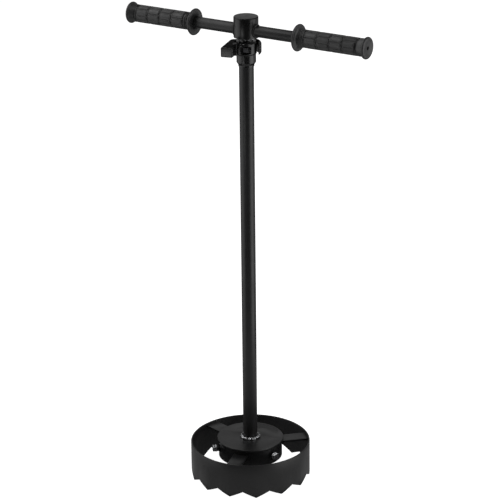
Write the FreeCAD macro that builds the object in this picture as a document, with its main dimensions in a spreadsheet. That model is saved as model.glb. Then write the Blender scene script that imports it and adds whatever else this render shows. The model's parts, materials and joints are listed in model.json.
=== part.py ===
import FreeCAD, Part
import math
import os
import re

import Sketcher
from FreeCAD import Placement, Rotation, Vector

# A hand-turned ring cutter for turf: a toothed steel ring on a long tube, with a
# telescoping T-handle held by a quick-release collar.
#
# Frame: +X along the handlebar, +Z up the tube, origin on the tube's axis in the plane
# of the tooth tips. The shaft (collar and base) is turned by shaft_yaw about the tube's
# axis, because the T-handle can be clamped at any angle. Pieces of the shaft are drawn in
# the shaft's own axes, front towards -Y, and turned by their Placement.

SIZES = {
    # cutter ring
    "ring_radius": 120.4, "ring_wall": 3.0, "ring_top": 70.9,
    "tooth_count": 14, "tooth_depth": 12.5, "tooth_flat": 2.4, "tooth_turn": -3.0,
    # spokes between the hub ring and the cutter ring
    "spoke_width": 29.0, "spoke_thick": 4.0, "spoke_top": 67.0,
    # hub: ring below the disc, and the skirt inside it
    "disc_radius": 66.85, "disc_top": 78.5, "disc_thick": 5.0,
    "hub_radius": 64.1, "hub_wall": 4.0, "hub_bottom": 40.0,
    "skirt_wall": 4.0, "skirt_bottom": 44.0,
    # radial hub bolts, M8
    "bolt_level": 60.0, "bolt_radius": 4.0, "bolt_tip": 57.0, "hex_flats": 13.0,
    "nut_thick": 6.5, "washer_thick": 2.0, "washer_radius": 7.3, "washer_split": 1.2,
    "head_thick": 5.3, "head_corner": 0.8, "head_crown": 0.3,
    # shaft tube
    "tube_radius": 14.3, "tube_wall": 1.5, "tube_top": 904.0,
    "tube_slot_width": 2.5, "tube_slot_bottom": 876.0,
    "foot_weld_radius": 20.0, "foot_weld_rise": 4.5,
    # collar on the tube's top end
    "collar_bottom": 857.0, "lip_radius": 15.4, "lip_rise": 3.0, "cone_rise": 5.0,
    "sleeve_radius": 18.7, "band_bottom": 880.6, "band_top": 906.0, "band_round": 4.4,
    "mouth_radius": 13.1, "boss_radius": 25.0, "boss_across": -4.0, "boss_right": 21.0,
    "jaw_left": -8.1, "jaw_front": 22.1, "jaw_gap": 0.4, "split_left": -5.9, "split_width": 1.4,
    "relief_width": 1.2,
    "window_left": -3.6, "window_right": 15.4, "window_low": 885.2, "window_high": 899.9,
    "window_floor": 15.0, "seat_face": 0.6, "seat_front": 21.4,
    # tension bolt, its nut and pad
    "clamp_level": 893.0, "pin_across": -15.5, "pin_front": 18.6,
    "tension_radius": 2.0, "tension_end": 13.0, "eye_radius": 5.3, "eye_thick": 7.0,
    "tension_gap": 0.2, "nut_width": 10.0, "nut_front": 21.4, "pad_thick": 1.2, "pad_radius": 4.0,
    # pivot pin and clip
    "pin_radius": 3.0, "pin_gap": 0.05, "pin_head_radius": 5.5, "pin_head_rise": 2.4, "pin_head_round": 1.4,
    "pin_tail": 2.2, "clip_radius": 4.8, "clip_thick": 0.8, "clip_mouth": 3.6,
    # cam lever
    "lever_low": 883.0, "lever_high": 902.2, "wrap_low": 880.8, "wrap_high": 905.4,
    "lever_left": -36.4, "tab_front": 46.0, "tab_right": -13.0, "tab_round": 2.4,
    "neck_front": 26.6, "shoulder_front": 32.1, "corner_round": 8.0,
    "cam_offset": 0.3, "cam_radius": 5.6, "cam_leave": 140.0, "scallop_radius": 7.0,
    "wrap_inner": 23.6, "wrap_outer": 29.2, "wrap_tangent": 110.0, "heel_back": 3.0,
    "nose_front": 6.0, "nose_clear": 43.6, "nose_round": 1.0,
    "fork_gap": 8.4, "fork_radius": 6.2, "edge_round": 0.8,
    # anchor screw at the back of the collar, M5
    "anchor_level": 871.0, "anchor_radius": 2.5, "anchor_tip": 13.1, "anchor_seat": 17.9,
    "anchor_head_radius": 4.7, "anchor_head_rise": 2.6, "anchor_head_round": 1.4,
    "anchor_key": 3.0, "anchor_key_depth": 1.6,
    # inner stem and the guide at its lower end
    "stem_radius": 12.7, "stem_wall": 1.5, "stem_bottom": 590.0, "stem_top": 916.0,
    "plug_depth": 22.0, "plug_flange": 3.0, "spigot_radius": 8.0, "spigot_length": 22.0,
    "bush_gap": 0.05, "bush_play": 0.3, "keeper_radius": 12.0, "keeper_thick": 2.0,
    "keeper_screw_radius": 3.0, "keeper_screw_length": 16.0, "keeper_head_radius": 5.0,
    "keeper_head_rise": 4.0,
    # head of the T-handle
    "head_radius": 23.7, "head_wall": 2.5, "head_floor": 4.0, "head_bottom": 914.0,
    "cap_seam": 951.5, "cap_top": 954.0, "cap_round": 1.9, "cap_plug": 8.0,
    "stem_weld_radius": 17.5, "stem_weld_drop": 5.5,
    # handlebar
    "bar_level": 927.4, "bar_radius": 11.0, "bar_wall": 1.5, "bar_half": 256.0,
    "bar_weld_radius": 13.4, "bar_weld_rise": 2.4,
    # grips
    "grip_start": 113.0, "grip_end": 264.0, "flange_radius": 26.0, "flange_thick": 5.0,
    "neck_end": 133.0, "neck_radius": 16.2, "ring_rise": 1.1, "grip_radius": 17.2,
    "groove_start": 243.5, "groove_end": 247.5, "groove_radius": 15.2,
    "end_flange_start": 257.0, "end_flange_radius": 21.0, "grip_closed": 258.0,
    "vent_radius": 3.6,
    # whole: the shaft's turn, and how far a cutting tool runs past the face it opens
    "shaft_yaw": 14.4, "overrun": 1.0,
}

doc = FreeCAD.newDocument("turf_ring_cutter")
sheet = doc.addObject("Spreadsheet::Sheet", "sizes")
for row, (alias, value) in enumerate(SIZES.items(), start=1):
    sheet.set(f"A{row}", alias)
    sheet.set(f"B{row}", str(value))
    sheet.setAlias(f"B{row}", alias)
doc.recompute()

subparts = []
SPOKE_TURNS = (0, 120, 240)
BOLT_TURNS = (60, 180, 300)


# ---- helpers -------------------------------------------------------------------------

def bind(expression):
    """Write the sheet's name in front of every alias in an expression."""
    return re.sub("[a-z_]+", lambda word: ("sizes." if word[0] in SIZES else "") + word[0], expression)


def link(obj, **expressions):
    """Bind properties of an object to the sheet."""
    for name, expression in expressions.items():
        obj.setExpression(name, bind(expression))
    return obj


def move(obj, x="0", y="0", z="0"):
    """Bind an object's position to the sheet."""
    for axis, expression in (("x", x), ("y", y), ("z", z)):
        obj.setExpression(f"Placement.Base.{axis}", bind(expression))
    return obj


def cylinder(radius, height, x="0", y="0", z="0", along="z"):
    """A cylinder from (x, y, z) along +X, +Y or +Z."""
    obj = doc.addObject("Part::Cylinder", "cylinder")
    turns = {"x": Rotation(Vector(0, 1, 0), 90), "y": Rotation(Vector(1, 0, 0), -90), "z": Rotation()}
    obj.Placement = Placement(Vector(), turns[along])
    return move(link(obj, Radius=radius, Height=height), x, y, z)


def box(low, high):
    """A box between two corners, each a triple of expressions."""
    obj = doc.addObject("Part::Box", "box")
    sizes = [f"( {b} ) - ( {a} )" for a, b in zip(low, high)]
    return move(link(obj, Length=sizes[0], Width=sizes[1], Height=sizes[2]), *low)


def cone(radius_low, radius_high, height, z):
    obj = doc.addObject("Part::Cone", "cone")
    return move(link(obj, Radius1=radius_low, Radius2=radius_high, Height=height), z=z)


def hexagon(across_flats, height, x="0", z="0"):
    """A hexagonal prism from (x, 0, z) along +X, one corner up."""
    obj = doc.addObject("Part::Prism", "hexagon")
    obj.Polygon = 6
    obj.Placement = Placement(Vector(), Rotation(Vector(0, 1, 0), 90))
    return move(link(obj, Circumradius=f"{across_flats} / sqrt(3)", Height=height), x, "0", z)


def cut(base, *tools):
    for tool in tools:
        result = doc.addObject("Part::Cut", "cut")
        result.Base, result.Tool = base, tool
        base = result
    return base


def common(base, tool):
    result = doc.addObject("Part::Common", "common")
    result.Base, result.Tool = base, tool
    return result


def fuse(*pieces, refine=True):
    result = doc.addObject("Part::MultiFuse", "fuse")
    result.Shapes = list(pieces)
    result.Refine = refine
    return result


def group(pieces):
    """Separate solids that share one node."""
    result = doc.addObject("Part::Compound", "group")
    result.Links = pieces
    return result


def turned(obj, degrees):
    """Turn an object about the tube's axis by a fixed angle."""
    obj.Placement = Placement(Vector(), Rotation(Vector(0, 0, 1), degrees))
    return obj


def around(make, turns):
    """One object from make() for each turn about the tube's axis."""
    return [turned(make(), degrees) for degrees in turns]


def edge_names(shape, test):
    return [f"Edge{i}" for i, edge in enumerate(shape.Edges, start=1) if test(edge)]


def rounded(base, radius, test):
    """Round the edges of base that pass the test."""
    doc.recompute()
    result = doc.addObject("Part::Fillet", "rounded")
    result.Base = base
    size = sheet.get(radius)
    result.Edges = [(int(name[4:]), size, size) for name in edge_names(base.Shape, test)]
    return result


def near(value, target):
    return abs(value - target) < 0.01


def is_circle(edge, radius, z=None):
    curve = edge.Curve
    if not isinstance(curve, Part.Circle) or not near(curve.Radius, radius):
        return False
    return z is None or near(curve.Center.z, z)


def new_body(label):
    return doc.addObject("PartDesign::Body", label)


def new_sketch(body, plane):
    """A sketch on one of the body's origin planes."""
    sketch = body.newObject("Sketcher::SketchObject", "sketch")
    origin = [item for item in body.Origin.OriginFeatures if item.Role == plane][0]
    sketch.AttachmentSupport = [(origin, "")]
    sketch.MapMode = "FlatFace"
    return sketch


def outline(sketch, corners, arcs=None):
    """A closed outline through the corners, each a pair of expressions.

    arcs gives, for the side after a corner, the arc's radius, its centre and whether it
    runs anticlockwise. Every corner is held by its two distances from the origin.
    """
    arcs = arcs or {}
    at = [tuple(float(sketch.evalExpression(bind(value))) for value in corner) for corner in corners]
    starts = []
    for i, (x, y) in enumerate(at):
        next_x, next_y = at[(i + 1) % len(at)]
        if i not in arcs:
            side = Part.LineSegment(Vector(x, y, 0), Vector(next_x, next_y, 0))
            starts.append((sketch.addGeometry(side), 1, 2))
            continue
        radius, centre, anticlockwise = arcs[i]
        cx, cy = (float(sketch.evalExpression(bind(value))) for value in centre)
        size = float(sketch.evalExpression(bind(radius)))
        angles = [math.atan2(py - cy, px - cx) for px, py in ((x, y), (next_x, next_y))]
        if not anticlockwise:
            angles.reverse()
        if angles[1] < angles[0]:
            angles[1] += 2 * math.pi
        circle = Part.Circle(Vector(cx, cy, 0), Vector(0, 0, 1), size)
        index = sketch.addGeometry(Part.ArcOfCircle(circle, *angles))
        starts.append((index, 1, 2) if anticlockwise else (index, 2, 1))
    for i, (index, start, end) in enumerate(starts):
        following, next_start, _ = starts[(i + 1) % len(starts)]
        sketch.addConstraint(Sketcher.Constraint("Coincident", index, end, following, next_start))
        for kind, number, expression in (("DistanceX", at[i][0], corners[i][0]),
                                         ("DistanceY", at[i][1], corners[i][1])):
            row = sketch.addConstraint(Sketcher.Constraint(kind, -1, 1, index, start, number))
            sketch.setExpression(f"Constraints[{row}]", bind(expression))
    for i, (radius, _, _) in arcs.items():
        size = float(sketch.evalExpression(bind(radius)))
        row = sketch.addConstraint(Sketcher.Constraint("Radius", starts[i][0], size))
        sketch.setExpression(f"Constraints[{row}]", bind(radius))


def revolve(label, corners, axis="V_Axis", arcs=None):
    """A body turned from an outline in the XZ plane, about Z (V_Axis) or X (H_Axis)."""
    body = new_body(label)
    sketch = new_sketch(body, "XZ_Plane")
    outline(sketch, corners, arcs)
    turn = body.newObject("PartDesign::Revolution", "turn")
    turn.Profile = sketch
    turn.ReferenceAxis = (sketch, [axis])
    turn.Angle = 360
    return body


def pad(body, sketch, low, high):
    """A pad between two levels from a sketch in the XY plane."""
    sketch.setExpression("AttachmentOffset.Base.z", bind(low))
    feature = body.newObject("PartDesign::Pad", "pad")
    feature.Profile = sketch
    return link(feature, Length=f"{high} - {low}")


def subpart(node, obj, on_shaft=True):
    """Name a finished object as a node; pieces of the shaft are turned with it."""
    obj.Label = node
    if on_shaft:
        obj.Placement.Rotation = Rotation(Vector(0, 0, 1), sheet.shaft_yaw)
        obj.setExpression("Placement.Rotation.Angle", bind("shaft_yaw"))
    subparts.append(obj)
    return obj


def tube(outer, inner, low, high):
    """A round tube about Z between two levels."""
    height = f"( {high} ) - ( {low} )"
    return cut(cylinder(outer, height, z=low), cylinder(inner, height, z=low))


# ---- base: cutter ring, spokes, hub ---------------------------------------------------

def blade_ring():
    body = new_body("ring_body")
    sketch = new_sketch(body, "XY_Plane")
    for radius in ("ring_radius", "ring_radius - ring_wall"):
        size = float(sketch.evalExpression(bind(radius)))
        index = sketch.addGeometry(Part.Circle(Vector(), Vector(0, 0, 1), size))
        sketch.addConstraint(Sketcher.Constraint("Coincident", index, 3, -1, 1))
        row = sketch.addConstraint(Sketcher.Constraint("Radius", index, size))
        sketch.setExpression(f"Constraints[{row}]", bind(radius))
    wall = body.newObject("PartDesign::Pad", "wall")
    wall.Profile = sketch
    link(wall, Length="ring_top")
    half_pitch = "( ring_radius * tan(180 / tooth_count) - tooth_flat / 2 )"
    notch = new_sketch(body, "XZ_Plane")
    slope = f"( {half_pitch} * ( 1 + overrun / tooth_depth ) )"
    outline(notch, [(f"0 - {slope}", "0 - overrun"), (slope, "0 - overrun"), ("0", "tooth_depth")])
    pocket = body.newObject("PartDesign::Pocket", "notch")
    pocket.Profile = notch
    link(pocket, Length="ring_radius + ring_wall")
    doc.recompute()
    pattern = body.newObject("PartDesign::PolarPattern", "teeth")
    pattern.Originals = [pocket]
    pattern.Axis = (sketch, ["N_Axis"])
    pattern.Angle = 360
    link(pattern, Occurrences="tooth_count")
    body.Tip = pattern
    return body


def spoke():
    bar = box(("0 - spoke_width / 2", "0 - ring_radius", "spoke_top - spoke_thick"),
              ("spoke_width / 2", "0", "spoke_top"))
    between = tube("ring_radius - ring_wall", "hub_radius", "spoke_top - spoke_thick", "spoke_top")
    return common(bar, between)


def radial(make):
    """Pieces made along +X, set at each of the hub bolts' places."""
    pieces = []
    for turn in BOLT_TURNS:
        holder = doc.addObject("Part::Compound", "radial")
        holder.Links = [make()]
        pieces.append(turned(holder, turn - 90))
    return pieces


def hub_wall(outer, thickness, low):
    wall = tube(outer, f"{outer} - {thickness}", low, "disc_top - disc_thick")
    return cut(wall, group(radial(lambda: cylinder("bolt_radius", "hub_radius + overrun",
                                                   z="bolt_level", along="x"))))


def weld_nut():
    body = hexagon("hex_flats", "nut_thick + overrun", x="hub_radius - overrun", z="bolt_level")
    hub = cylinder("hub_radius", "disc_top")
    hole = cylinder("bolt_radius", "ring_radius", z="bolt_level", along="x")
    return cut(body, hub, hole)


def hub_bolt():
    seat = "hub_radius + nut_thick + washer_thick"
    shank = cylinder("bolt_radius", f"{seat} - bolt_tip + overrun", x="bolt_tip", z="bolt_level",
                     along="x")
    head = hexagon("hex_flats", "head_thick", x=seat, z="bolt_level")
    dome = doc.addObject("Part::Cone", "cone")
    dome.Placement = Placement(Vector(), Rotation(Vector(0, 1, 0), 90))
    link(dome, Radius1="hex_flats / 2 + head_corner + head_thick", Radius2="hex_flats / 2 - head_crown",
         Height="head_thick")
    move(dome, x=seat, z="bolt_level")
    return fuse(shank, common(head, dome))


def spring_washer():
    start = "hub_radius + nut_thick"
    disc = cylinder("washer_radius", "washer_thick", x=start, z="bolt_level", along="x")
    hole = cylinder("bolt_radius", "washer_thick", x=start, z="bolt_level", along="x")
    split = box((start, "0 - washer_split / 2", "bolt_level"),
                (f"{start} + washer_thick", "washer_split / 2", "bolt_level + washer_radius + overrun"))
    return cut(disc, hole, split)


def weld_bead(label, inner, outer, wide, narrow):
    """A convex fillet weld round a vertical tube, from its wide end to its narrow end."""
    width = f"( {outer} - {inner} )"
    rise = f"( {narrow} - {wide} )"
    bulge = ((1, 0), (0.92, 0.35), (0.6, 0.78), (0.2, 1))      # shares of the width and the rise
    crown = [(f"{inner} + {width} * {out}", f"{wide} + {rise} * {up}") for out, up in bulge]
    return revolve(label, [(inner, wide), *crown, (inner, narrow)])


def base_disc():
    disc = cylinder("disc_radius", "disc_thick", z="disc_top - disc_thick")
    edge = rounded(disc, "edge_round", lambda e: is_circle(e, sheet.disc_radius, sheet.disc_top))
    return cut(edge, cylinder("tube_radius", "disc_top"))


cutter = subpart("blade_ring", blade_ring())
cutter.setExpression("Placement.Rotation.Angle", bind("shaft_yaw + tooth_turn + 180 / tooth_count"))
for name, degrees in zip(("spoke_front", "spoke_right", "spoke_left"), SPOKE_TURNS):
    arm = subpart(name, spoke())
    arm.setExpression("Placement.Rotation.Angle", bind(f"shaft_yaw + {degrees}"))
subpart("hub_ring", hub_wall("hub_radius", "hub_wall", "hub_bottom"))
subpart("hub_skirt", hub_wall("( hub_radius - hub_wall )", "skirt_wall", "skirt_bottom"))
subpart("base_disc", base_disc())
subpart("weld_nuts", group(radial(weld_nut)))
subpart("spring_washers", group(radial(spring_washer)))
subpart("hub_bolts", group(radial(hub_bolt)))
subpart("foot_weld", weld_bead("foot_bead", "tube_radius", "foot_weld_radius", "disc_top",
                               "disc_top + foot_weld_rise"))


# ---- shaft tube ------------------------------------------------------------------------

def shaft_tube():
    wall = tube("tube_radius", "tube_radius - tube_wall", "disc_top - disc_thick", "tube_top")
    slots = [turned(box(("0 - tube_slot_width / 2", "0", "tube_slot_bottom"),
                        ("tube_slot_width / 2", "tube_radius + overrun", "tube_top + overrun")), turn)
             for turn in (90, 270)]
    thread = cylinder("anchor_radius", "tube_radius", z="anchor_level", along="y")
    return cut(wall, *slots, thread)


subpart("shaft_tube", shaft_tube())


# ---- collar ----------------------------------------------------------------------------

def clamp_collar():
    sleeve_low = "collar_bottom + lip_rise + cone_rise"
    lip = cylinder("lip_radius", "lip_rise", z="collar_bottom")
    taper = cone("lip_radius", "sleeve_radius", "cone_rise", "collar_bottom + lip_rise")
    sleeve = cylinder("sleeve_radius", f"band_top - ( {sleeve_low} )", z=sleeve_low)
    bulge = cylinder("boss_radius", "band_top - band_bottom", "boss_across", z="band_bottom")
    front_half = box(("jaw_left", "0 - boss_radius - overrun", "band_bottom - overrun"),
                     ("boss_radius", "0", "band_top + overrun"))
    barrel = rounded(bulge, "band_round", lambda e: is_circle(e, sheet.boss_radius))
    anchor_hole = cylinder("anchor_radius", "sleeve_radius", z="anchor_level", along="y")
    anchor_spot = cylinder("anchor_head_radius + jaw_gap", "sleeve_radius", y="anchor_seat",
                           z="anchor_level", along="y")
    core = cut(fuse(lip, taper, sleeve), anchor_hole, anchor_spot)
    whole = fuse(core, common(barrel, front_half), refine=False)

    front = "0 - boss_radius - overrun"
    left = "0 - boss_right - overrun"
    level = "clamp_level"
    bore = "tension_radius + tension_gap"
    tools = [
        cylinder("tube_radius", "tube_top - collar_bottom", z="collar_bottom"),
        cylinder("mouth_radius", "band_top", z="collar_bottom"),
        # the split, and the relief slot that frees the left jaw from the sleeve
        box(("split_left", front, "band_bottom"), ("split_left + split_width", "0", "band_top + overrun")),
        box((left, front, "band_bottom - relief_width / 2"),
            ("split_left + split_width", "tension_radius", "band_bottom + relief_width / 2")),
        # the left jaw stops short of the lever's neck, with room beside it for the hub and the pad
        box((left, front, "band_bottom"), ("split_left", "0 - jaw_front", "band_top + overrun")),
        cylinder("scallop_radius", "band_top", "pin_across", "0 - pin_front", "band_bottom"),
        box((left, front, "band_bottom"), ("jaw_left", "jaw_gap - tube_radius", "band_top + overrun")),
        # the window, its nut seat and the tension bolt's hole
        box(("seat_face", front, "window_low"), ("window_right", "0 - window_floor", "window_high")),
        box(("window_left", front, "window_low"), ("seat_face", "0 - seat_front", "window_high")),
        box(("window_left", front, f"{level} - ( {bore} )"),
            ("seat_face", "0 - pin_front", f"{level} + {bore}")),
        cylinder(bore, "seat_face - jaw_left + overrun", "jaw_left - overrun", "0 - pin_front", level,
                 along="x"),
    ]
    return cut(whole, *tools)


def thrust_pad():
    start = "jaw_left - pad_thick"
    disc = cylinder("pad_radius", "pad_thick", start, "0 - pin_front", "clamp_level", along="x")
    hole = cylinder("tension_radius + tension_gap", "pad_thick", start, "0 - pin_front",
                    "clamp_level", along="x")
    return cut(disc, hole)


def tension_bolt():
    shank = cylinder("tension_radius", "tension_end - pin_across", "pin_across", "0 - pin_front",
                     "clamp_level", along="x")
    eye = cylinder("eye_radius", "eye_thick", "pin_across", "0 - pin_front",
                   "clamp_level - eye_thick / 2")
    hole = cylinder("pin_radius + pin_gap", "eye_thick + 2 * overrun", "pin_across", "0 - pin_front",
                    "clamp_level - eye_thick / 2 - overrun")
    return cut(fuse(shank, eye), hole)


def captive_nut():
    half = "nut_width / 2"
    block = box(("seat_face", "0 - nut_front", f"clamp_level - {half}"),
                ("seat_face + nut_width", "0 - window_floor", f"clamp_level + {half}"))
    front = rounded(block, "edge_round", lambda e: all(near(v.Y, -sheet.nut_front) for v in e.Vertexes))
    hole = cylinder("tension_radius", "nut_width + 2 * overrun", "seat_face - overrun",
                    "0 - pin_front", "clamp_level", along="x")
    return cut(front, hole)


def anchor_screw():
    shank = cylinder("anchor_radius", "anchor_seat - anchor_tip", y="anchor_tip", z="anchor_level",
                     along="y")
    head = cylinder("anchor_head_radius", "anchor_head_rise", y="anchor_seat", z="anchor_level",
                    along="y")
    top = sheet.anchor_seat + sheet.anchor_head_rise
    dome = rounded(head, "anchor_head_round", lambda e: is_circle(e, sheet.anchor_head_radius)
                   and near(e.Curve.Center.y, top))
    socket = doc.addObject("Part::Prism", "key_socket")
    socket.Polygon = 6
    socket.Placement = Placement(Vector(), Rotation(Vector(1, 0, 0), -90))
    link(socket, Circumradius="anchor_key / sqrt(3)", Height="anchor_head_rise")
    move(socket, y="anchor_seat + anchor_head_rise - anchor_key_depth", z="anchor_level")
    return cut(fuse(shank, dome), socket)


subpart("clamp_collar", clamp_collar())
subpart("thrust_pad", thrust_pad())
subpart("tension_bolt", tension_bolt())
subpart("captive_nut", captive_nut())
subpart("anchor_screw", anchor_screw())


# ---- cam lever ---------------------------------------------------------------------------

# The wrap's free end: its outer and inner front corners, then the heel on the inner side,
# which keep nose_clear from the pivot pin, so that the end passes the collar as it swings.
NOSE = [
    ("sqrt(wrap_outer ^ 2 - nose_front ^ 2)", "0 - nose_front"),
    ("pin_across + sqrt(nose_clear ^ 2 - ( pin_front - nose_front ) ^ 2)", "0 - nose_front"),
    ("sqrt(wrap_inner ^ 2 - heel_back ^ 2)", "heel_back"),
]


def lever_outline(sketch):
    cam_x = "( pin_across + cam_offset )"
    cam_y = "0 - pin_front"
    leave = (f"{cam_x} + cam_radius * cos(cam_leave)", f"{cam_y} + cam_radius * sin(cam_leave)")
    foot = ("pin_across", f"{cam_y} - sqrt(cam_radius ^ 2 - cam_offset ^ 2)")
    tangent = ("wrap_outer * cos(wrap_tangent)", "wrap_outer * sin(wrap_tangent)")
    slope = "( wrap_tangent - 90 )"
    corner_y = f"( {tangent[1]} - ( {tangent[0]} - lever_left ) * tan({slope}) )"
    reach = "( corner_round * tan((180 - wrap_tangent) / 2) )"
    corners = [
        foot, ("pin_across", "0 - neck_front"), ("tab_right", "0 - shoulder_front"),
        ("tab_right", "0 - tab_front"), ("lever_left", "0 - tab_front"),
        ("lever_left", f"{corner_y} - {reach}"),
        (f"lever_left + {reach} * cos({slope})", f"{corner_y} + {reach} * sin({slope})"),
        tangent, *NOSE, ("0 - wrap_inner", "0"), leave,
    ]
    outline(sketch, corners, arcs={
        5: ("corner_round", ("lever_left + corner_round", f"{corner_y} - {reach}"), False),
        7: ("wrap_outer", ("0", "0"), False),
        10: ("wrap_inner", ("0", "0"), True),
        12: ("cam_radius", (cam_x, cam_y), False),
    })


def wrap_outline(sketch):
    tangent = ("wrap_outer * cos(wrap_tangent)", "wrap_outer * sin(wrap_tangent)")
    inside = ("wrap_inner * cos(wrap_tangent)", "wrap_inner * sin(wrap_tangent)")
    outline(sketch, [tangent, *NOSE, inside], arcs={0: ("wrap_outer", ("0", "0"), False),
                                                    3: ("wrap_inner", ("0", "0"), True)})


def cam_lever():
    body = new_body("lever_body")
    plan = new_sketch(body, "XY_Plane")
    lever_outline(plan)
    flat = pad(body, plan, "lever_low", "lever_high")
    doc.recompute()

    def outer_edge(edge):
        """The upright front corners, and the top and bottom edges of the outer sides."""
        middle = edge.valueAt((edge.FirstParameter + edge.LastParameter) / 2)
        upright = not near(edge.Vertexes[0].Z, edge.Vertexes[-1].Z)
        if upright:
            return near(middle.y, -sheet.tab_front)
        on_tab = middle.y < -sheet.shoulder_front
        on_left = middle.x < sheet.pin_across and math.hypot(middle.x, middle.y) > sheet.wrap_outer
        return on_tab or on_left

    smooth = body.newObject("PartDesign::Fillet", "smooth")
    smooth.Base = (flat, edge_names(flat.Shape, outer_edge))
    link(smooth, Radius="tab_round")
    wrap = new_sketch(body, "XY_Plane")
    wrap_outline(wrap)
    strap = pad(body, wrap, "wrap_low", "wrap_high")
    doc.recompute()
    tip = body.newObject("PartDesign::Fillet", "tip")
    tip.Base = (strap, edge_names(strap.Shape, lambda e: e.Vertexes[0].X > 0 and not
                                  near(e.Vertexes[0].Z, e.Vertexes[-1].Z)
                                  and all(near(v.Y, -sheet.nose_front) for v in e.Vertexes)))
    link(tip, Radius="nose_round")
    fork = cylinder("fork_radius", "fork_gap", "pin_across", "0 - pin_front",
                    "clamp_level - fork_gap / 2")
    hole = cylinder("pin_radius", "lever_high", "pin_across", "0 - pin_front")
    return cut(body, fork, hole)


def pivot_pin():
    low = "lever_low - pin_tail"
    shank = cylinder("pin_radius", f"lever_high - ( {low} )", "pin_across", "0 - pin_front", low)
    head = cylinder("pin_head_radius", "pin_head_rise", "pin_across", "0 - pin_front", "lever_high")
    top = rounded(head, "pin_head_round", lambda e: is_circle(e, sheet.pin_head_radius,
                                                              sheet.lever_high + sheet.pin_head_rise))
    return fuse(shank, top)


def pin_clip():
    low = "lever_low - clip_thick"
    ring = cylinder("clip_radius", "clip_thick", "pin_across", "0 - pin_front", low)
    hole = cylinder("pin_radius", "clip_thick", "pin_across", "0 - pin_front", low)
    mouth = box(("pin_across - clip_radius", "0 - pin_front - clip_mouth / 2", low),
                ("pin_across", "0 - pin_front + clip_mouth / 2", "lever_low"))
    return cut(ring, hole, mouth)


subpart("cam_lever", cam_lever())
subpart("pivot_pin", pivot_pin())
subpart("pin_clip", pin_clip())


# ---- T-handle: stem and its guide -----------------------------------------------------------

SPIGOT_LOW = "stem_bottom - plug_flange - spigot_length"


def stem_plug():
    inside = cylinder("stem_radius - stem_wall", "plug_depth", z="stem_bottom")
    flange = cylinder("stem_radius", "plug_flange", z="stem_bottom - plug_flange")
    spigot = cylinder("spigot_radius", "spigot_length", z=SPIGOT_LOW)
    thread = cylinder("keeper_screw_radius", "keeper_screw_length", z=SPIGOT_LOW)
    return cut(fuse(inside, flange, spigot), thread)


def guide_bush():
    low = f"{SPIGOT_LOW} + bush_play"
    return tube("tube_radius - tube_wall - bush_gap", "spigot_radius + bush_gap", low,
                "stem_bottom - plug_flange - bush_play")


def keeper_screw():
    top = f"{SPIGOT_LOW} - keeper_thick"
    head = cylinder("keeper_head_radius", "keeper_head_rise", z=f"{top} - keeper_head_rise")
    shank = cylinder("keeper_screw_radius", "keeper_screw_length + keeper_thick", z=top)
    return fuse(head, shank)


subpart("stem_tube", tube("stem_radius", "stem_radius - stem_wall", "stem_bottom", "stem_top"), False)
subpart("stem_plug", stem_plug(), False)
subpart("guide_bush", guide_bush(), False)
subpart("keeper_washer", tube("keeper_radius", "keeper_screw_radius", f"{SPIGOT_LOW} - keeper_thick",
                              SPIGOT_LOW), False)
subpart("keeper_screw", keeper_screw(), False)


# ---- T-handle: head ---------------------------------------------------------------------------

def crossbar(radius, half="bar_half"):
    return cylinder(radius, f"2 * {half}", x=f"0 - {half}", z="bar_level", along="x")


def head_sleeve():
    outside = cylinder("head_radius", "cap_seam - head_bottom", z="head_bottom")
    inside = cylinder("head_radius - head_wall", "cap_top", z="head_bottom + head_floor")
    stem_hole = cylinder("stem_radius", "cap_top", z="0")
    return cut(outside, inside, stem_hole, crossbar("bar_radius"))


def head_cap():
    top = cylinder("head_radius", "cap_top - cap_seam", z="cap_seam")
    smooth = rounded(top, "cap_round", lambda e: is_circle(e, sheet.head_radius, sheet.cap_top))
    plug = tube("head_radius - head_wall", "head_radius - 2 * head_wall", "cap_seam - cap_plug",
                "cap_seam")
    return fuse(smooth, plug)


def bar_welds():
    """Two saddle-shaped fillet welds, where the bar enters the head."""
    beads = []
    for side in (0, 180):
        shell = cut(cylinder("head_radius + bar_weld_rise", "cap_top - head_bottom", z="head_bottom"),
                    cylinder("head_radius", "cap_top", z="0"))
        blank = cylinder("bar_weld_radius", "2 * head_radius", z="bar_level", along="x")
        bead = common(cut(blank, cylinder("bar_radius", "bar_half", z="bar_level", along="x")), shell)
        beads.append(turned(bead, side))
    return group(beads)


subpart("head_sleeve", head_sleeve(), False)
subpart("head_cap", head_cap(), False)
subpart("stem_weld", weld_bead("stem_bead", "stem_radius", "stem_weld_radius", "head_bottom",
                               "head_bottom - stem_weld_drop"), False)
subpart("handlebar", cut(crossbar("bar_radius"), crossbar("bar_radius - bar_wall")), False)
subpart("bar_welds", bar_welds(), False)


# ---- grips --------------------------------------------------------------------------------------

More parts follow.
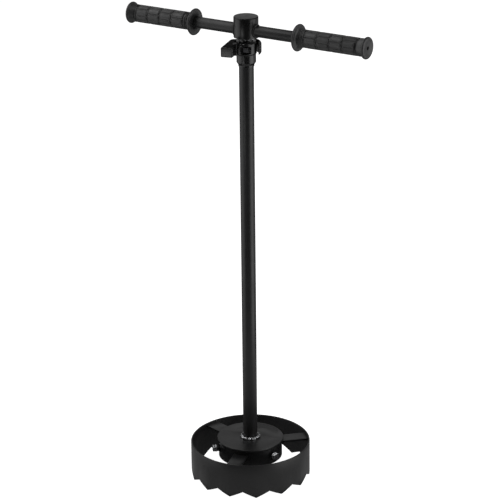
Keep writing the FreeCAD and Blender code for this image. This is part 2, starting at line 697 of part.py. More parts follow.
def grip(label):
    """A closed rubber grip turned about the bar, from its inner flange to its end."""
    ring_pitch = "( neck_end - grip_start - flange_thick ) / 4"
    crest = "neck_radius + ring_rise"
    corners = [("grip_start", "bar_radius"), ("grip_start", "flange_radius"),
               ("grip_start + flange_thick", "flange_radius"),
               ("grip_start + flange_thick", "neck_radius")]
    for ridge in (1, 2, 3):
        middle = f"grip_start + flange_thick + {ridge} * {ring_pitch}"
        corners += [(f"{middle} - ring_rise", "neck_radius"), (f"{middle} - ring_rise / 2", crest),
                    (f"{middle} + ring_rise / 2", crest), (f"{middle} + ring_rise", "neck_radius")]
    corners += [("neck_end", "neck_radius"), ("neck_end", "grip_radius"),
                ("groove_start", "grip_radius"), ("groove_start", "groove_radius"),
                ("groove_end", "groove_radius"), ("groove_end", "grip_radius"),
                ("end_flange_start", "grip_radius"), ("end_flange_start", "end_flange_radius"),
                ("grip_end", "end_flange_radius"), ("grip_end", "vent_radius"),
                ("grip_closed", "vent_radius"), ("grip_closed", "bar_radius")]
    return revolve(label, corners, axis="H_Axis")


for name, degrees in (("right_grip", 0), ("left_grip", 180)):
    rubber = subpart(name, grip(name + "_turning"), False)
    turned(rubber, degrees)
    move(rubber, z="bar_level")


# ---- checks and export -----------------------------------------------------------------------------

doc.recompute()
failed = [obj.Name for obj in doc.Objects if {"Invalid", "Error"} & set(obj.State)]
if failed:
    raise SystemExit(f"objects failed to recompute: {failed}")
for obj in subparts:
    if obj.Shape.isNull() or not obj.Shape.isValid():
        raise SystemExit(f"{obj.Label} has no valid shape")

os.makedirs("parts", exist_ok=True)
for obj in subparts:
    obj.Shape.exportStep(f"parts/{obj.Label}.step")
    print(f"{obj.Label:16s} {len(obj.Shape.Solids)} solid(s) {obj.Shape.Volume / 1000:9.2f} cm3")
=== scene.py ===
import json
import math
import random

import bmesh
import bpy
from mathutils import Matrix, Vector


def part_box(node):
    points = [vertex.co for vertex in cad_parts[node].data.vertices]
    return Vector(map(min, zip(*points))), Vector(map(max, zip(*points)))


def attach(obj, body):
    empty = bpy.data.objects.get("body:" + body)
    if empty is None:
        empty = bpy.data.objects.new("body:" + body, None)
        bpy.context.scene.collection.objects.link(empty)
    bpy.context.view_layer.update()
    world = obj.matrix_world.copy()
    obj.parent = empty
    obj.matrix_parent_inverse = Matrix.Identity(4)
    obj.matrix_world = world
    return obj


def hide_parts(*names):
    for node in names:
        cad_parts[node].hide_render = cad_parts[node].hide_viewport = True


# Looks for the turf ring cutter, in metres, in the CAD frame: +X along the handlebar, +Z up
# the shaft, origin on the shaft's axis in the plane of the tooth tips.

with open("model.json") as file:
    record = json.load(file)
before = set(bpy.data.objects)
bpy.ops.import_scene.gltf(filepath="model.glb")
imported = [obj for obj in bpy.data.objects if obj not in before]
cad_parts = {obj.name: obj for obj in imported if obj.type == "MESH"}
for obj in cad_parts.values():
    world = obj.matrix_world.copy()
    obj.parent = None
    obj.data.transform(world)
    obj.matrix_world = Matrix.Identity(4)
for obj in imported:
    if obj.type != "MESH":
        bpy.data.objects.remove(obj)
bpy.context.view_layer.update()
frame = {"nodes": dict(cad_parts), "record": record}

MM = 0.001
SHAFT_YAW = math.radians(14.4)      # the collar and the base are turned this far from the handlebar

# ---- camera -----------------------------------------------------------------------------

VIEW_AZIMUTH = math.radians(32.05)
VIEW_PITCH = math.radians(-20.877)
VIEW_ROLL = math.radians(-0.602)
CAMERA_PLACE = Vector((2.1146, -3.3714, 2.0))
SENSOR_WIDTH = 36                   # this and the next in millimetres, as lenses are sold
FOCAL_LENGTH = 156.4
VIEW_REACH = 60.0                   # far enough for the whole floor

lens = bpy.data.cameras.new("camera")
lens.sensor_width = SENSOR_WIDTH
lens.lens = FOCAL_LENGTH
lens.clip_end = VIEW_REACH
camera = bpy.data.objects.new("camera", lens)
camera.matrix_world = (Matrix.Translation(CAMERA_PLACE) @ Matrix.Rotation(VIEW_AZIMUTH, 4, "Z")
                       @ Matrix.Rotation(math.pi / 2 + VIEW_PITCH, 4, "X")
                       @ Matrix.Rotation(VIEW_ROLL, 4, "Z"))
bpy.context.scene.collection.objects.link(camera)
bpy.context.scene.camera = camera
bpy.context.scene.view_settings.view_transform = "Standard"

# ---- light ------------------------------------------------------------------------------

SHAFT_MIDDLE = (0, 0, 0.45)         # places the lights aim at
SHAFT_UPPER = (0, 0, 0.6)
HANDLE = (0, 0, 0.9)
LEVER_END = (-0.013, -0.051, 0.892)
ROOM_GLOW = 0.03                    # the little light that comes from everywhere


def soft_box(name, azimuth, elevation, distance, width, height, radiance, aim):
    """An area light seen from its aim at an azimuth, anticlockwise from -Y, and an elevation."""
    light = bpy.data.lights.new(name, "AREA")
    light.shape = "RECTANGLE"
    light.size, light.size_y = width, height
    light.energy = radiance * math.pi * width * height
    a, e = math.radians(azimuth), math.radians(elevation)
    place = Vector((math.sin(a) * math.cos(e), -math.cos(a) * math.cos(e), math.sin(e))) * distance
    obj = bpy.data.objects.new(name, light)
    obj.location = place + Vector(aim)
    obj.rotation_euler = (Vector(aim) - obj.location).to_track_quat("-Z", "Y").to_euler()
    obj.visible_camera = False
    bpy.context.scene.collection.objects.link(obj)


soft_box("left_wall", -54, 0, 2.4, 2.4, 3.6, 0.85, SHAFT_UPPER)
soft_box("right_wall", 101, 0, 2.4, 2.3, 4.0, 1.45, SHAFT_UPPER)
soft_box("upper_left", -74, 50, 2.6, 2.8, 2.0, 1.55, HANDLE)
soft_box("upper_right", 100, 40, 2.4, 1.2, 1.2, 1.6, HANDLE)
soft_box("back", 212, 24, 3.4, 3.6, 2.8, 0.36, SHAFT_MIDDLE)
soft_box("lever_card", -3, -21, 0.6, 0.2, 0.16, 1.7, LEVER_END)
soft_box("rear_right", 152, 4, 3.0, 1.5, 3.6, 0.35, SHAFT_UPPER)
soft_box("rear_left", 268, 4, 3.0, 1.5, 3.6, 0.35, SHAFT_UPPER)
soft_box("spark", 20, 66, 2.6, 0.3, 0.3, 12.0, HANDLE)

world = bpy.data.worlds.new("studio")
world.use_nodes = True
world.node_tree.nodes["Background"].inputs["Color"].default_value = (1, 1, 1, 1)
world.node_tree.nodes["Background"].inputs["Strength"].default_value = ROOM_GLOW
bpy.context.scene.world = world

# ---- material kit -----------------------------------------------------------------------


class Shader:
    """A principled material with small helpers for the noise and bump that feed it."""

    def __init__(self, name, color, roughness, metallic=0.0, specular=0.5):
        self.material = bpy.data.materials.new(name)
        self.material.use_nodes = True
        self.tree = self.material.node_tree
        self.bsdf = self.tree.nodes["Principled BSDF"]
        self.bsdf.inputs["Base Color"].default_value = (*color, 1)
        self.bsdf.inputs["Roughness"].default_value = roughness
        self.bsdf.inputs["Metallic"].default_value = metallic
        self.bsdf.inputs["Specular IOR Level"].default_value = specular
        self.place = self.add("ShaderNodeTexCoord").outputs["Object"]
        self.normal = None

    def add(self, kind, **settings):
        node = self.tree.nodes.new(kind)
        for key, value in settings.items():
            setattr(node, key, value)
        return node

    def join(self, source, node, socket):
        self.tree.links.new(source, node.inputs[socket])

    def noise(self, per_metre, detail=3.0, roughness=0.55, stretch=(1, 1, 1)):
        mapping = self.add("ShaderNodeMapping")
        mapping.inputs["Scale"].default_value = stretch
        self.join(self.place, mapping, "Vector")
        node = self.add("ShaderNodeTexNoise")
        node.inputs["Scale"].default_value = per_metre
        node.inputs["Detail"].default_value = detail
        node.inputs["Roughness"].default_value = roughness
        self.join(mapping.outputs["Vector"], node, "Vector")
        return node.outputs["Fac"]

    def cells(self, per_metre):
        node = self.add("ShaderNodeTexVoronoi")
        node.inputs["Scale"].default_value = per_metre
        self.join(self.place, node, "Vector")
        return node.outputs["Distance"]

    def spread(self, value, low, high, from_low=0.3, from_high=0.7):
        node = self.add("ShaderNodeMapRange")
        for socket, number in (("From Min", from_low), ("From Max", from_high),
                               ("To Min", low), ("To Max", high)):
            node.inputs[socket].default_value = number
        self.join(value, node, "Value")
        return node.outputs["Result"]

    def blend(self, factor, first, second):
        node = self.add("ShaderNodeMix", data_type="RGBA")
        node.inputs["A"].default_value = (*first, 1)
        node.inputs["B"].default_value = (*second, 1)
        self.join(factor, node, "Factor")
        return node.outputs["Result"]

    def bump(self, height, depth, strength=1.0):
        node = self.add("ShaderNodeBump")
        node.inputs["Distance"].default_value = depth
        node.inputs["Strength"].default_value = strength
        self.join(height, node, "Height")
        if self.normal:
            self.join(self.normal, node, "Normal")
        self.normal = node.outputs["Normal"]

    def done(self, color=None, roughness=None):
        if color:
            self.join(color, self.bsdf, "Base Color")
        if roughness:
            self.join(roughness, self.bsdf, "Roughness")
        if self.normal:
            self.join(self.normal, self.bsdf, "Normal")
        return self.material


def powder_coat():
    """Satin black powder coat: orange peel, fine grain and faint handling marks."""
    shader = Shader("powder_coat", (0.008, 0.008, 0.0082), 0.38)
    shader.bump(shader.noise(900, 2.0), 0.00006, 0.6)
    shader.bump(shader.noise(3200, 2.0), 0.00002, 0.5)
    tone = shader.blend(shader.spread(shader.noise(14, 4.0), 0, 1), (0.0065, 0.0065, 0.0067),
                        (0.0095, 0.0095, 0.0098))
    return shader.done(tone, shader.spread(shader.noise(30, 5.0), 0.32, 0.43))


def cast_coat():
    """The same coat over a die casting: smoother, darker and a little glossier."""
    shader = Shader("cast_coat", (0.003, 0.003, 0.0031), 0.27, specular=0.7)
    shader.bump(shader.noise(500, 2.0), 0.00002, 0.4)
    tone = shader.blend(shader.spread(shader.noise(40, 4.0), 0, 1), (0.002, 0.002, 0.0021),
                        (0.004, 0.004, 0.0042))
    return shader.done(tone, shader.spread(shader.noise(60, 5.0), 0.23, 0.32))


def lever_top_coat():
    """The lever's flat top and bottom: textured and dull, unlike its smooth sides."""
    shader = Shader("lever_top_coat", (0.003, 0.003, 0.0031), 0.7, specular=0.1)
    shader.bump(shader.noise(1400, 2.0), 0.00006, 0.6)
    return shader.done(None, shader.spread(shader.noise(60, 5.0), 0.62, 0.78))


def head_coat():
    """The head's coat: the same gloss as the castings, over a turned tube."""
    shader = Shader("head_coat", (0.002, 0.002, 0.0021), 0.3, specular=0.6)
    shader.bump(shader.noise(800, 2.0), 0.00003, 0.5)
    tone = shader.blend(shader.spread(shader.noise(20, 4.0), 0, 1), (0.0015, 0.0015, 0.0016),
                        (0.003, 0.003, 0.0031))
    return shader.done(tone, shader.spread(shader.noise(45, 5.0), 0.26, 0.35))


def weld_coat_painted_glints():
    """Weld metal under a thin coat, with bright metal patches at random places: painted glints."""
    shader = Shader("weld_coat_painted_glints", (0.2, 0.2, 0.205), 0.25, metallic=0.85)
    shader.bump(shader.noise(1500, 3.0), 0.00006, 0.7)
    # the bright patches are painted glints: bright metal colour standing in for highlights on the
    # beads
    tone = shader.blend(shader.spread(shader.noise(260, 3.0), 0, 1, 0.44, 0.6), (0.03, 0.03, 0.031),
                        (0.75, 0.76, 0.78))
    return shader.done(tone, shader.spread(shader.noise(500, 4.0), 0.16, 0.36))


def moulded_rubber():
    """Matte grip rubber with a fine pebbled skin."""
    shader = Shader("grip_rubber", (0.011, 0.011, 0.0112), 0.48, specular=0.8)
    shader.bump(shader.cells(1900), 0.00004, 0.6)
    shader.bump(shader.noise(700, 3.0), 0.00003, 0.5)
    tone = shader.blend(shader.spread(shader.noise(55, 5.0), 0, 1), (0.008, 0.008, 0.0082),
                        (0.014, 0.014, 0.0142))
    return shader.done(tone, shader.spread(shader.noise(90, 4.0), 0.42, 0.54))


def gloss_plastic():
    """The head's moulded end cap: smooth, with a soft gloss."""
    shader = Shader("cap_plastic", (0.006, 0.006, 0.0063), 0.32, specular=0.3)
    shader.bump(shader.noise(420, 2.0), 0.00002, 0.4)
    return shader.done(None, shader.spread(shader.noise(80, 4.0), 0.27, 0.38))


def zinc():
    """Bright zinc plating with faint drag lines and cloudy patches."""
    shader = Shader("zinc", (0.86, 0.87, 0.89), 0.3, metallic=1.0)
    shader.bump(shader.noise(2500, 3.0), 0.00002, 0.5)
    tone = shader.blend(shader.spread(shader.noise(220, 4.0), 0, 1), (0.78, 0.79, 0.81),
                        (0.92, 0.93, 0.94))
    return shader.done(tone, shader.spread(shader.noise(420, 4.0), 0.22, 0.4))


def black_steel():
    """Oil-blackened steel of pins and screws."""
    shader = Shader("black_steel", (0.03, 0.03, 0.032), 0.35, metallic=0.8)
    shader.bump(shader.noise(1800, 3.0), 0.00003, 0.5)
    tone = shader.blend(shader.spread(shader.noise(260, 4.0), 0, 1), (0.022, 0.022, 0.024),
                        (0.05, 0.05, 0.052))
    return shader.done(tone, shader.spread(shader.noise(300, 4.0), 0.28, 0.45))


def nylon():
    """Dull black nylon of the bush and the thrust pad."""
    shader = Shader("nylon", (0.03, 0.03, 0.031), 0.5)
    shader.bump(shader.noise(1500, 2.0), 0.00003, 0.4)
    return shader.done(None, shader.spread(shader.noise(200, 3.0), 0.42, 0.56))


COAT = powder_coat()
HEAD = head_coat()
WELD_PAINTED_GLINTS = weld_coat_painted_glints()
CASTING = cast_coat()
LEVER_TOP = lever_top_coat()
RUBBER = moulded_rubber()
CAP = gloss_plastic()
ZINC = zinc()
STEEL = black_steel()
NYLON = nylon()

SLOT_MATERIALS = {"coated_steel": COAT, "coated_head": HEAD, "coated_weld": WELD_PAINTED_GLINTS,
                  "coated_casting": CASTING, "cap_plastic": CAP, "zinc_steel": ZINC,
                  "black_steel": STEEL, "nylon": NYLON, "grip_rubber": RUBBER}
NODE_SLOT = {part["node"]: part["material_slot"] for part in frame["record"]["subparts"]}
NODE_BODY = {node: body for body, nodes in frame["record"]["behaviour"]["bodies"].items()
             for node in nodes}

# ---- mesh kit ---------------------------------------------------------------------------

SAME_CAD_POINT = 1e-6               # points of a CAD solid closer than this are one point
SAME_GRID_POINT = 1e-7              # and of a surface made here
FLAT_TURN = math.radians(0.5)       # faces that meet at less are one face
HARD_EDGE = math.radians(28)        # edges that turn more get a round
SHADING_BREAK = math.radians(40)    # edges that still turn more are shaded as edges


def piece_from(name, mesh, node):
    """Show a mesh in place of a CAD node, on the node's body and in its slot's material."""
    obj = bpy.data.objects.new(name, mesh)
    bpy.context.scene.collection.objects.link(obj)
    mesh.materials.clear()
    mesh.materials.append(SLOT_MATERIALS[NODE_SLOT[node]])
    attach(obj, NODE_BODY[node])
    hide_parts(node)
    return obj


def cut_away(mesh, tool):
    """A solid's mesh with another solid cut out of it."""
    body = bpy.data.objects.new("body", mesh)
    cutter = bpy.data.objects.new("cutter", tool)
    for obj in (body, cutter):
        bpy.context.scene.collection.objects.link(obj)
    difference = body.modifiers.new("cut", "BOOLEAN")
    difference.operation, difference.object, difference.solver = "DIFFERENCE", cutter, "EXACT"
    after_cut = body.evaluated_get(bpy.context.evaluated_depsgraph_get())
    result = bpy.data.meshes.new_from_object(after_cut)
    for obj in (body, cutter):
        bpy.data.objects.remove(obj)
    return result


def softened(node, width, segments=2, tool=None):
    """The CAD node's own solid with its sharp edges rounded, as any made part has them."""
    mesh = frame["nodes"][node].data.copy()
    if tool:
        mesh = cut_away(mesh, tool)
    bm = bmesh.new()
    bm.from_mesh(mesh)
    bmesh.ops.remove_doubles(bm, verts=bm.verts, dist=SAME_CAD_POINT)
    bmesh.ops.dissolve_limit(bm, angle_limit=FLAT_TURN, verts=bm.verts, edges=bm.edges)
    sharp = [edge for edge in bm.edges
             if len(edge.link_faces) == 2 and edge.calc_face_angle(0) > HARD_EDGE]
    bmesh.ops.bevel(bm, geom=sharp, offset=width, segments=segments, profile=0.5, affect="EDGES",
                    clamp_overlap=True, harden_normals=False)
    for face in bm.faces:
        face.smooth = True
    bm.to_mesh(mesh)
    bm.free()
    mesh.set_sharp_from_angle(angle=SHADING_BREAK)
    return piece_from(node + "_softened", mesh, node)


def grid_mesh(name, rows, closed_rows=False):
    """A surface from rows of points; each row is a closed loop of equal length."""
    count = len(rows[0])
    points = [point for row in rows for point in row]
    faces = []
    last = len(rows) if closed_rows else len(rows) - 1
    for i in range(last):
        a, b = i * count, (i + 1) % len(rows) * count
        for j in range(count):
            k = (j + 1) % count
            faces.append((a + j, a + k, b + k, b + j))
    mesh = bpy.data.meshes.new(name)
    mesh.from_pydata(points, [], faces)
    bm = bmesh.new()
    bm.from_mesh(mesh)
    bmesh.ops.remove_doubles(bm, verts=bm.verts, dist=SAME_GRID_POINT)
    bmesh.ops.recalc_face_normals(bm, faces=bm.faces)
    for face in bm.faces:
        face.smooth = True
    bm.to_mesh(mesh)
    bm.free()
    return mesh


# ---- edges of made parts: every hard CAD edge gets a small round --------------------------

EDGE = 0.4 * MM                     # the usual break of a coated or cast edge
FINE_EDGE = 0.2 * MM                # on small fasteners
CAST_EDGE = 0.7 * MM                # on the die castings

for node in ("blade_ring", "spoke_front", "spoke_right", "spoke_left", "base_disc", "hub_ring",
             "hub_skirt", "head_sleeve", "head_cap", "shaft_tube", "handlebar", "stem_tube",
             "stem_plug", "guide_bush"):
    softened(node, EDGE)
for node in ("weld_nuts", "hub_bolts", "spring_washers", "captive_nut", "tension_bolt",
             "anchor_screw", "pivot_pin", "pin_clip", "thrust_pad", "keeper_washer",
             "keeper_screw"):
    softened(node, FINE_EDGE)
softened("clamp_collar", CAST_EDGE, segments=3)

# The lever's strap goes round the collar. Its outer side is rounded along top and bottom.
STRAP_OUTER = 29.2 * MM
STRAP_LEVELS = (880.8 * MM, 905.4 * MM)
STRAP_ROUND = 4.6 * MM
STRAP_START = math.radians(-40)     # at its free end
STRAP_SWEEP = math.radians(150)     # from there to the lever's arm
STRAP_STEPS = 60                    # along it
ROUND_STEPS = 8                     # over one rounded rim
SPARE = 1.0 * MM                    # how far the cutting solid runs past the strap
LEVEL_FACE = 0.95                   # least upward part of the normal of a face that lies flat


def strap_rounder():
    """The solid left outside a drum with rounded rims, over the strap's part of a turn."""
    low, high = STRAP_LEVELS
    core = STRAP_OUTER - STRAP_ROUND
    leans = [math.pi / 2 * i / ROUND_STEPS for i in range(ROUND_STEPS + 1)]
    arc = [(math.sin(lean), 1 - math.cos(lean)) for lean in leans]
    upper = [(core + STRAP_ROUND * out, high - STRAP_ROUND * drop) for out, drop in arc]
    lower = [(radius, low + high - level) for radius, level in reversed(upper)]
    far = STRAP_OUTER + SPARE
    section = [(core, high + SPARE), *upper, *lower, (core, low - SPARE), (far, low - SPARE),
               (far, high + SPARE)]
    rows = []
    for i in range(STRAP_STEPS + 1):
        turn = SHAFT_YAW + STRAP_START + STRAP_SWEEP * i / STRAP_STEPS
        rows.append([(radius * math.cos(turn), radius * math.sin(turn), level)
                     for radius, level in section])
    mesh = grid_mesh("strap_rounder", rows)
    bm = bmesh.new()
    bm.from_mesh(mesh)
    bmesh.ops.holes_fill(bm, edges=[edge for edge in bm.edges if edge.is_boundary], sides=0)
    bmesh.ops.recalc_face_normals(bm, faces=bm.faces)
    bm.to_mesh(mesh)
    bm.free()
    return mesh


lever = softened("cam_lever", CAST_EDGE, segments=3, tool=strap_rounder())
lever.data.materials.append(LEVER_TOP)
for face in lever.data.polygons:
    face.material_index = 1 if abs(face.normal.z) > LEVEL_FACE else 0

# ---- grips ------------------------------------------------------------------------------

GRIP_TURNS = 256                    # points round a grip
TREAD_STEP = 0.45 * MM              # distance between the tread's rows
PADS_ROUND = 8                      # tread pads round the grip
PAD_COLUMNS = 4                     # and along it, each column half a pad round from the last
PAD_POINT = 3.4 * MM                # how far a pad's pointed ends reach past its straight sides
GROOVE_HALF = 1.15 * MM             # half the width of the groove round each pad
GROOVE_WALL = (0.55 * GROOVE_HALF, 1.35 * GROOVE_HALF)  # its side slopes between these
GROOVE_DEPTH = 1.7 * MM
LINE_INSET = 3.1 * MM               # the fine line pressed into each pad, inside its outline
LINE_HALF = 0.55 * MM
LINE_WALL = (0.4 * LINE_HALF, 1.3 * LINE_HALF)
LINE_DEPTH = 0.6 * MM

BORE_GAP = 0.05 * MM                # between the bar and the rubber
INNER_FLANGE_WIDTH = 5 * MM
NECK_RADIUS = 16.2 * MM
NECK_LENGTH = 20 * MM               # with the inner flange
NECK_RINGS = 3
NECK_RING_START = 9 * MM            # middle of the first ring, from the grip's inner end
NECK_RING_STEP = 3.6 * MM
NECK_RING_WIDTH = 1.8 * MM
NECK_RING_HEIGHT = 1.1 * MM
NECK_RING_STEPS = 6
BODY_RADIUS = 17.2 * MM
END_GROOVE_START = 20.5 * MM        # this and the next from the grip's outer end
END_FLANGE_WIDTH = 7 * MM
END_GROOVE_DEPTH = 2.1 * MM
END_FLANGE_RADIUS = 21 * MM
VENT_RADIUS = 3.6 * MM              # the hole in the closed end
VENT_DEPTH = 6 * MM


def smooth_step(value, low, high):
    """From 0 at low to 1 at high, level at both ends."""
    share = min(1.0, max(0.0, (value - low) / (high - low)))
    return share * share * (3 - 2 * share)


def pad_depth_at(along, turn, length, radius):
    """How deep the tread is cut at a place on the grip's skin."""
    pitch = length / PAD_COLUMNS
    width = math.tau * radius / PADS_ROUND
    side = pitch / 2 - PAD_POINT / 2
    slant = math.hypot(width / 2, PAD_POINT)
    inside = -1.0
    for column in range(PAD_COLUMNS):
        u = abs(along - (column + 0.5) * pitch)
        at_start = column == 0 and along < pitch / 2
        at_end = column == PAD_COLUMNS - 1 and along > length - pitch / 2
        offset = (0.5 if column % 2 else 0.0) * width
        v = abs((turn * radius - offset + width / 2) % width - width / 2)
        if at_start or at_end:
            reach = pitch / 2 - u
        else:
            reach = (width / 2 * (side + PAD_POINT - u) - PAD_POINT * v) / slant
        inside = max(inside, min(width / 2 - v, reach))
    groove = 1 - smooth_step(inside, *GROOVE_WALL)
    line = 1 - smooth_step(abs(inside - LINE_INSET), *LINE_WALL)
    return GROOVE_DEPTH * groove + LINE_DEPTH * line


def rim(x_from, x_to, radius, root_from, root_to, steps=8):
    """Profile points over a round-edged flange, up one face and down the other."""
    half = (x_to - x_from) / 2
    middle = (x_from + x_to) / 2
    turns = [math.pi * i / steps for i in range(steps + 1)]
    arc = [(middle - half * math.cos(turn), radius - half + half * math.sin(turn))
           for turn in turns]
    return [(x_from, root_from), *arc, (x_to, root_to)]


def grip_profile(x_start, x_end, flange):
    """(x, radius) along the outside of a grip, from the bar over to the vent hole.

    The points come in three runs, because the tread is pressed into the middle one only.
    """
    bore = BAR_RADIUS + BORE_GAP
    neck_end = x_start + NECK_LENGTH
    groove = x_end - END_GROOVE_START
    groove_floor = BODY_RADIUS - END_GROOVE_DEPTH
    before = rim(x_start, x_start + INNER_FLANGE_WIDTH, flange, bore, NECK_RADIUS + 2.2 * MM)
    before += [(x_start + 7.5 * MM, NECK_RADIUS + 0.4 * MM)]
    for ring in range(NECK_RINGS):
        middle = x_start + NECK_RING_START + NECK_RING_STEP * ring
        for i in range(NECK_RING_STEPS + 1):
            share = i / NECK_RING_STEPS
            before.append((middle + (share - 0.5) * NECK_RING_WIDTH,
                           NECK_RADIUS + NECK_RING_HEIGHT * math.sin(math.pi * share)))
    before += [(neck_end - 0.6 * MM, NECK_RADIUS), (neck_end - 0.1 * MM, NECK_RADIUS + 0.3 * MM),
               (neck_end, BODY_RADIUS - 0.4 * MM), (neck_end + 0.35 * MM, BODY_RADIUS)]
    tread_start, tread_end = neck_end + 0.8 * MM, groove - 0.8 * MM
    steps = round((tread_end - tread_start) / TREAD_STEP)
    tread = [(tread_start + (tread_end - tread_start) * i / steps, BODY_RADIUS)
             for i in range(steps + 1)]
    after = [(groove - 0.3 * MM, BODY_RADIUS), (groove, BODY_RADIUS - 0.4 * MM),
             (groove + 0.3 * MM, groove_floor + 0.3 * MM), (groove + 0.7 * MM, groove_floor),
             (groove + 3.3 * MM, groove_floor), (groove + 3.7 * MM, groove_floor + 0.3 * MM),
             (groove + 4 * MM, BODY_RADIUS - 0.4 * MM), (groove + 4.4 * MM, BODY_RADIUS),
             (x_end - 8.5 * MM, BODY_RADIUS), (x_end - 7.3 * MM, BODY_RADIUS + 0.8 * MM)]
    after += rim(x_end - END_FLANGE_WIDTH, x_end, END_FLANGE_RADIUS, BODY_RADIUS + 1.6 * MM,
                 END_FLANGE_RADIUS - 6.5 * MM)
    after += [(x_end - 0.5 * MM, END_FLANGE_RADIUS - 7.2 * MM),
              (x_end - 0.9 * MM, END_FLANGE_RADIUS - 8.2 * MM),
              (x_end - 0.9 * MM, VENT_RADIUS + 1.0 * MM),
              (x_end - 1.1 * MM, VENT_RADIUS + 0.4 * MM), (x_end - 1.7 * MM, VENT_RADIUS),
              (x_end - VENT_DEPTH, VENT_RADIUS), (x_end - VENT_DEPTH, bore)]
    return before, tread, after


def tread_grip(node, side):
    """A moulded rubber grip: flange, ringed neck, hexagonal tread, end groove and closed end."""
    low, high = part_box(node)
    x_start = min(abs(low.x), abs(high.x))
    x_end = max(abs(low.x), abs(high.x))
    flange = (high.z - low.z) / 2
    before, tread, after = grip_profile(x_start, x_end, flange)
    tread_start, length = tread[0][0], tread[-1][0] - tread[0][0]
    rows = []
    for is_tread, part in ((False, before), (True, tread), (False, after)):
        for x, radius in part:
            row = []
            for i in range(GRIP_TURNS):
                turn = math.tau * i / GRIP_TURNS
                depth = pad_depth_at(x - tread_start, turn, length, radius) if is_tread else 0.0
                r = radius - depth
                row.append((side * x, side * r * math.cos(turn), BAR_LEVEL + r * math.sin(turn)))
            rows.append(row)
    piece_from(node + "_rubber", grid_mesh(node + "_rubber", rows, closed_rows=True), node)


bar_low, bar_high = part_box("handlebar")
BAR_RADIUS = (bar_high.z - bar_low.z) / 2
BAR_LEVEL = (bar_high.z + bar_low.z) / 2
tread_grip("right_grip", 1)
tread_grip("left_grip", -1)

# ---- weld beads -------------------------------------------------------------------------

BEAD_POINTS = 9                     # across a bead
BEAD_STEP = 0.35 * MM               # along it
BEAD_BULGE = 0.3                    # how far a bead's crown stands out, as a share of its face
BEAD_SINK = 0.3 * MM                # how far its root is inside the metal it joins
RIPPLE = 2.1 * MM                   # from one ripple of a weld to the next
RIPPLE_SHIFT = 0.18                 # how far a ripple may start early or late, in ripples
RIPPLE_LEAST = 0.7                  # height of the lowest ripples
RIPPLE_FULLNESS = 0.6               # below 1 makes their crowns broad and the dips narrow


def ripple_heights(length, seed):
    """Heights along a closed weld, from 0 to 1: scalloped ripples of uneven size."""
    draw = random.Random(seed)
    ripples = round(length / RIPPLE)
    starts = [i + draw.uniform(-RIPPLE_SHIFT, RIPPLE_SHIFT) for i in range(ripples)]
    sizes = [draw.uniform(RIPPLE_LEAST, 1.0) for _ in range(ripples)]
    count = round(length / BEAD_STEP)
    heights = []
    for k in range(count):
        place = k / count * ripples
        i = max((j for j in range(ripples) if starts[j] <= place), default=ripples - 1)
        span = 1 + (starts[(i + 1) % ripples] - starts[i] - 1) % ripples
        share = min(1.0, max(0.0, (place - starts[i]) % ripples / span))
        heights.append(sizes[i] * math.sin(math.pi * share) ** RIPPLE_FULLNESS)
    return heights


def bead_mesh(name, sections, heights, swell):
    """A closed bead: sections gives its root and two toes at a share of its length.

    The heights swell its crown.
    """
    rows = []
    for k, height in enumerate(heights):
        root, first, second = sections(k / len(heights))
        bulge = BEAD_BULGE + swell * height
        row = [root]
        for i in range(BEAD_POINTS + 1):
            share = i / BEAD_POINTS
            on_line = first.lerp(second, share)
            outward = (on_line - root).normalized()
            rise = (first - second).length * bulge * math.sin(math.pi * share)
            row.append(on_line + outward * rise)
        rows.append(row)
    return grid_mesh(name, rows, closed_rows=True)


def ring_bead(node, radius, leg, climb, level, towards, seed):
    """A fillet weld round an upright tube; towards is +1 where it rises up the tube."""

    def sections(share):
        turn = math.tau * share
        out = Vector((math.cos(turn), math.sin(turn), 0))
        root = out * (radius - BEAD_SINK) + Vector((0, 0, level - BEAD_SINK * towards))
        first = out * (radius + leg) + Vector((0, 0, level))
        second = out * radius + Vector((0, 0, level + climb * towards))
        return root, first, second

    heights = ripple_heights(math.tau * radius, seed)
    piece_from(node + "_bead", bead_mesh(node, sections, heights, 0.16), node)


def saddle_sections(side, head_radius, leg):
    """Sections of the weld where the bar meets the round head."""

    def sections(share):
        turn = math.tau * share
        around_bar = Vector((0, math.cos(turn), math.sin(turn)))
        y = BAR_RADIUS * around_bar.y
        seam = Vector((side * math.sqrt(head_radius ** 2 - y * y), y,
                       BAR_LEVEL + BAR_RADIUS * around_bar.z))
        head_normal = Vector((seam.x, seam.y, 0)).normalized()
        up_head = (around_bar - head_normal * around_bar.dot(head_normal)).normalized()
        root = seam - (around_bar + head_normal) * BEAD_SINK
        return root, seam + up_head * leg, seam + Vector((side, 0, 0)) * leg

    return sections


def bar_weld_beads():
    """The two welds where the handlebar leaves the head, as one piece."""
    low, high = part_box("head_sleeve")
    head_radius = (high.x - low.x) / 2
    whole = bmesh.new()
    for side in (-1, 1):
        heights = ripple_heights(math.tau * BAR_RADIUS, 40 + side)
        part = bead_mesh("bar_bead", saddle_sections(side, head_radius, 2.3 * MM), heights, 0.14)
        whole.from_mesh(part)
    mesh = bpy.data.meshes.new("bar_welds_beads")
    whole.to_mesh(mesh)
    whole.free()
    beads = piece_from("bar_welds_beads", mesh, "bar_welds")
    beads.data.materials[0] = COAT      # these keep the plain coat, without the painted glints of the foot and stem welds
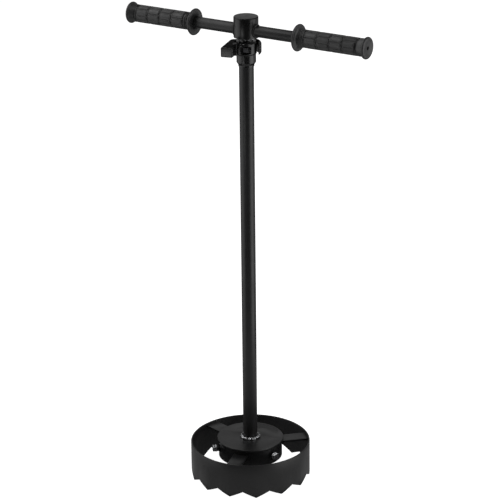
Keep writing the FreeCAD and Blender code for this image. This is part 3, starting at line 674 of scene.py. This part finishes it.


tube_low, tube_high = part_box("shaft_tube")
stem_low, stem_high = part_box("stem_tube")
ring_bead("foot_weld", (tube_high.x - tube_low.x) / 2, leg=5.2 * MM, climb=4.2 * MM,
          level=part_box("base_disc")[1].z, towards=1, seed=11)
ring_bead("stem_weld", (stem_high.x - stem_low.x) / 2, leg=4.4 * MM, climb=4.6 * MM,
          level=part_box("head_sleeve")[0].z, towards=-1, seed=23)
bar_weld_beads()

# The CAD nodes stay in the scene behind the pieces that replace them, in the same materials.
for node, obj in frame["nodes"].items():
    obj.data.materials.clear()
    obj.data.materials.append(SLOT_MATERIALS[NODE_SLOT[node]])

# ---- floor ------------------------------------------------------------------------------

FLOOR_RADIUS = 15.0
FLOOR_ALBEDO = 0.75
FLOOR_GLOW = 0.95
TABLE_RADIUS = 0.48                 # the part of the floor that the steel mirrors
TABLE_GLOW = 0.3
RING_RADIUS = 0.125                 # the part of it inside the cutter ring
RING_GLOW = 0.04
DISC_POINTS = 96


def floor_disc(name, inner, outer, albedo, emission):
    """A flat ring on the ground that glows as a lit white table does."""
    shader = Shader(name, (albedo, albedo, albedo), 0.8, specular=0.0)
    shader.bsdf.inputs["Emission Color"].default_value = (1, 1, 1, 1)
    shader.bsdf.inputs["Emission Strength"].default_value = emission
    turns = [math.tau * i / DISC_POINTS for i in range(DISC_POINTS)]
    rows = [[(radius * math.cos(turn), radius * math.sin(turn), 0) for turn in turns]
            for radius in (inner, outer)]
    disc = bpy.data.objects.new(name, grid_mesh(name, rows))
    disc.data.materials.append(shader.done())
    disc.visible_shadow = False
    bpy.context.scene.collection.objects.link(disc)
    return disc


# The steel mirrors a dimmer table than the one seen, and a dark one inside the cutter ring.
floor = floor_disc("floor", 0, FLOOR_RADIUS, FLOOR_ALBEDO, FLOOR_GLOW)
floor.visible_glossy = False
for name, inner, outer, emission in (("table_glow", RING_RADIUS, TABLE_RADIUS, TABLE_GLOW),
                                     ("ring_shade", 0, RING_RADIUS, RING_GLOW)):
    table = floor_disc(name, inner, outer, 0, emission)
    table.location.z = -MM
    table.visible_camera = False
